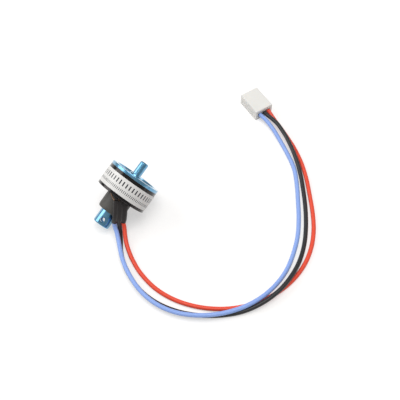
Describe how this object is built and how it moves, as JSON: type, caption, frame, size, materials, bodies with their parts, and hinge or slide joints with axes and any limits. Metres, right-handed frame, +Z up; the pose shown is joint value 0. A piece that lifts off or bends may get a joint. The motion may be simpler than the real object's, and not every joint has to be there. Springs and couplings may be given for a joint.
{
  "type": "brushless outrunner motor",
  "caption": "Small brushless outrunner motor with a turning bell, a propeller stub, a drilled rear mounting post and three flexible leads to a plug.",
  "frame": {"origin": "on the surface the motor stands on, at the centre of the motor's own box without leads and plug", "axes": "+Z up from the table; the motor's axis lies in the XZ plane and points along +X and up at 28.5 degrees, from its mounting post to its propeller stub"},
  "size_m": [0.0968, 0.076, 0.0218],
  "materials": {
    "blue_anodised": "bright blue anodised aluminium, turned",
    "black_steel": "black oxide steel, satin",
    "white_label": "white printed film, satin",
    "shaft_steel": "ground steel",
    "spring_steel": "dark spring steel",
    "bearing_steel": "polished bearing steel",
    "brass": "plain brass",
    "lamination_steel": "coated silicon steel sheets",
    "green_insulation": "green insulating coat",
    "copper_enamel": "enamelled copper wire",
    "magnet_nickel": "nickel plating",
    "black_sleeve": "black shrunk sleeve, satin",
    "solder": "bright solder",
    "blue_silicone": "blue silicone rubber",
    "black_silicone": "black silicone rubber",
    "red_silicone": "red silicone rubber",
    "white_nylon": "natural white nylon, slightly clear",
    "tin_plate": "tin plating"
  },
  "bodies": {
    "stator": {"hub": "blue_anodised", "rear_outer_race": "bearing_steel", "front_outer_race": "bearing_steel", "stator_core": "lamination_steel", "rear_end_cap": "green_insulation", "front_end_cap": "green_insulation", "winding_1": "copper_enamel", "winding_2": "copper_enamel", "winding_3": "copper_enamel", "winding_4": "copper_enamel", "winding_5": "copper_enamel", "winding_6": "copper_enamel", "winding_7": "copper_enamel", "winding_8": "copper_enamel", "winding_9": "copper_enamel", "winding_strands": "copper_enamel", "hub_sleeve": "black_sleeve", "lead_sleeve": "black_sleeve", "solder_joints": "solder", "blue_lead": "blue_silicone", "black_lead": "black_silicone", "red_lead": "red_silicone", "plug_housing": "white_nylon", "blue_contact": "tin_plate", "black_contact": "tin_plate", "red_contact": "tin_plate"},
    "rotor": {"front_bell": "blue_anodised", "flux_ring": "black_steel", "label_wrap": "white_label", "shaft": "shaft_steel", "retaining_ring": "spring_steel", "thrust_washer": "brass", "rear_inner_race": "bearing_steel", "front_inner_race": "bearing_steel", "magnet_1": "magnet_nickel", "magnet_2": "magnet_nickel", "magnet_3": "magnet_nickel", "magnet_4": "magnet_nickel", "magnet_5": "magnet_nickel", "magnet_6": "magnet_nickel", "magnet_7": "magnet_nickel", "magnet_8": "magnet_nickel", "magnet_9": "magnet_nickel", "magnet_10": "magnet_nickel", "magnet_11": "magnet_nickel", "magnet_12": "magnet_nickel"},
    "rear_ball_set": {"rear_cage": "brass", "rear_balls": "bearing_steel"},
    "front_ball_set": {"front_cage": "brass", "front_balls": "bearing_steel"}
  },
  "joints": [
    {"name": "bell_spin", "type": "hinge", "parent": "stator", "child": "rotor", "pos_m": [-0.01163, 0, 0.00274], "axis": [0.8791, 0, 0.4767], "continuous": true},
    {"name": "rear_balls_roll", "type": "hinge", "parent": "stator", "child": "rear_ball_set", "pos_m": [-0.01163, 0, 0.00274], "axis": [0.8791, 0, 0.4767], "continuous": true},
    {"name": "front_balls_roll", "type": "hinge", "parent": "stator", "child": "front_ball_set", "pos_m": [-0.01163, 0, 0.00274], "axis": [0.8791, 0, 0.4767], "continuous": true}
  ],
  "couplings": [
    {"joint": "rear_balls_roll", "follows": "bell_spin", "ratio": 0.3857},
    {"joint": "front_balls_roll", "follows": "bell_spin", "ratio": 0.3857}
  ]
}
